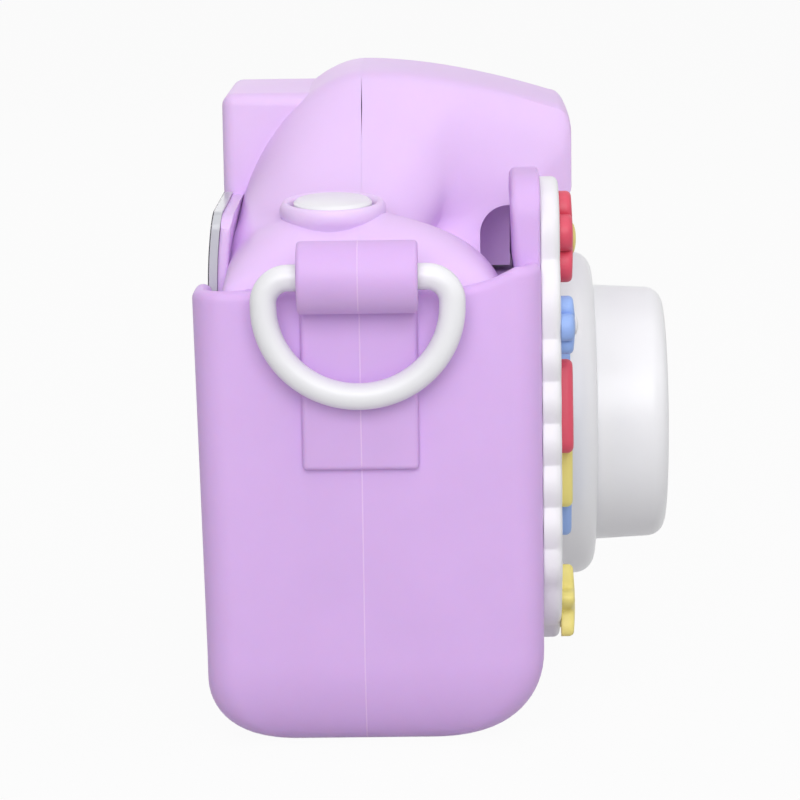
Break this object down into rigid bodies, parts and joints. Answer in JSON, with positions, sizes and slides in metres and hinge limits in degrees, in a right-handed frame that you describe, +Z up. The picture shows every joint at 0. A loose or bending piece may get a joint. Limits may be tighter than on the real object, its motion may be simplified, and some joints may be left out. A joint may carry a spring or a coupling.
{
  "type": "kids digital camera",
  "caption": "Toy digital camera with a prism hump and round lens, worn in a soft silicone sleeve with strap lugs, swinging D-rings, back screen and press keys.",
  "frame": {"origin": "on the table, centre of the sleeve's flat underside", "axes": "+Z up, lens points along -Y, operator's right hand and the shutter button at -X"},
  "size_m": [0.1078, 0.0627, 0.0856],
  "materials": {
    "lilac_silicone": "soft satin silicone",
    "lilac_plastic": "satin moulded plastic",
    "white_plastic": "soft gloss",
    "white_relief": "satin silicone",
    "red_relief": "satin silicone",
    "blue_relief": "satin silicone",
    "yellow_relief": "satin silicone",
    "black_plastic": "fine matt",
    "smoke_panel": "smoky clear sheet, glossy",
    "clear_glass": "polished",
    "green_board": "solder mask",
    "silver_foil": "foil",
    "steel": "plain",
    "screen": "glossy dark"
  },
  "bodies": {
    "camera": {"battery": "silver_foil", "blossom_left": "blue_relief", "blossom_right": "blue_relief", "blue_band_left": "blue_relief", "blue_band_right": "blue_relief", "card_socket": "steel", "down_key_switch": "black_plastic", "flash_lamp": "silver_foil", "flash_window": "clear_glass", "flower_left": "red_relief", "flower_right": "red_relief", "front_shell": "lilac_plastic", "lens_barrel": "white_plastic", "lens_base": "white_plastic", "lens_cone": "black_plastic", "lens_glass": "clear_glass", "lens_module": "black_plastic", "main_board": "green_board", "mode_key_switch": "black_plastic", "ok_key_switch": "black_plastic", "power_key_switch": "black_plastic", "rear_eye_glass": "clear_glass", "rear_eye_module": "black_plastic", "rear_eye_ring": "black_plastic", "rear_panel": "smoke_panel", "rear_shell": "lilac_plastic", "red_band_left": "red_relief", "red_band_right": "red_relief", "relief_cloud": "white_relief", "screen_module": "screen", "sensor_board": "green_board", "shell_screw_1": "steel", "shell_screw_2": "steel", "shell_screw_3": "steel", "shell_screw_4": "steel", "shutter_board": "green_board", "shutter_collar": "lilac_plastic", "shutter_switch": "black_plastic", "silicone_sleeve": "lilac_silicone", "speaker": "black_plastic", "star_left": "yellow_relief", "star_right": "yellow_relief", "up_key_switch": "black_plastic", "usb_socket": "steel", "yellow_band_left": "yellow_relief", "yellow_band_right": "yellow_relief"},
    "power_key_body": {"power_key": "white_plastic"},
    "mode_key_body": {"mode_key": "white_plastic"},
    "up_key_body": {"up_key": "white_plastic"},
    "ok_key_body": {"ok_key": "white_plastic"},
    "down_key_body": {"down_key": "white_plastic"},
    "shutter_button_body": {"shutter_button": "white_plastic"},
    "d_ring_right_body": {"d_ring_right": "white_plastic"},
    "d_ring_left_body": {"d_ring_left": "white_plastic"}
  },
  "joints": [
    {"name": "shutter_press", "type": "slide", "parent": "camera", "child": "shutter_button_body", "axis": [0.0872, 0, -0.9962], "range_m": [0, 0.0008], "stiffness_N_per_m": 600},
    {"name": "power_key_press", "type": "slide", "parent": "camera", "child": "power_key_body", "axis": [0, -1, 0], "range_m": [0, 0.0006], "stiffness_N_per_m": 600},
    {"name": "mode_key_press", "type": "slide", "parent": "camera", "child": "mode_key_body", "axis": [0, -1, 0], "range_m": [0, 0.0006], "stiffness_N_per_m": 600},
    {"name": "up_key_press", "type": "slide", "parent": "camera", "child": "up_key_body", "axis": [0, -1, 0], "range_m": [0, 0.0006], "stiffness_N_per_m": 600},
    {"name": "ok_key_press", "type": "slide", "parent": "camera", "child": "ok_key_body", "axis": [0, -1, 0], "range_m": [0, 0.0006], "stiffness_N_per_m": 600},
    {"name": "down_key_press", "type": "slide", "parent": "camera", "child": "down_key_body", "axis": [0, -1, 0], "range_m": [0, 0.0006], "stiffness_N_per_m": 600},
    {"name": "right_ring_swing", "type": "hinge", "parent": "camera", "child": "d_ring_right_body", "pos_m": [-0.0493, 0.0014, 0.0624], "axis": [0, 1, 0], "range_deg": [0, 180]},
    {"name": "left_ring_swing", "type": "hinge", "parent": "camera", "child": "d_ring_left_body", "pos_m": [0.0493, 0.0014, 0.0624], "axis": [0, -1, 0], "range_deg": [0, 180]}
  ]
}
